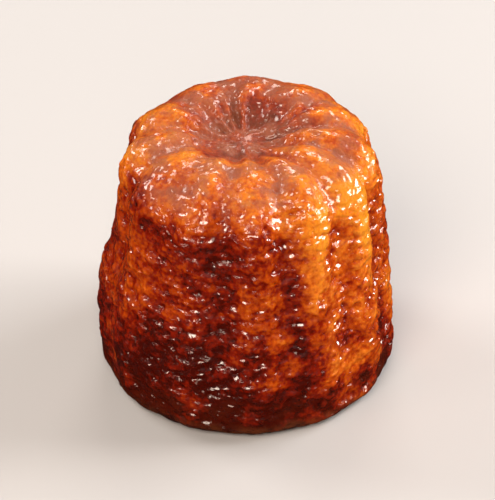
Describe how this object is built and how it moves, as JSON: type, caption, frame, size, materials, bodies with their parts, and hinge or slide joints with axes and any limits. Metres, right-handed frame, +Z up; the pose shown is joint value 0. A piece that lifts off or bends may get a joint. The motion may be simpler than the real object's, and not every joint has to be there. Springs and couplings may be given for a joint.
{
  "type": "canele",
  "caption": "Small fluted cake with a dark caramelised crust, standing on a flat base, with soft lobes that run over the shoulder into a dimple on top.",
  "frame": {"origin": "middle of the base, at the height of the ring that the cake stands on", "axes": "+Z up out of the dimple; -Y towards the side that the picture shows"},
  "size_m": [0.0541, 0.0539, 0.0503],
  "materials": {
    "crust": "glossy, uneven, reddish brown to amber caramelised crust"
  },
  "bodies": {
    "root": {"canele": "crust"}
  },
  "joints": []
}
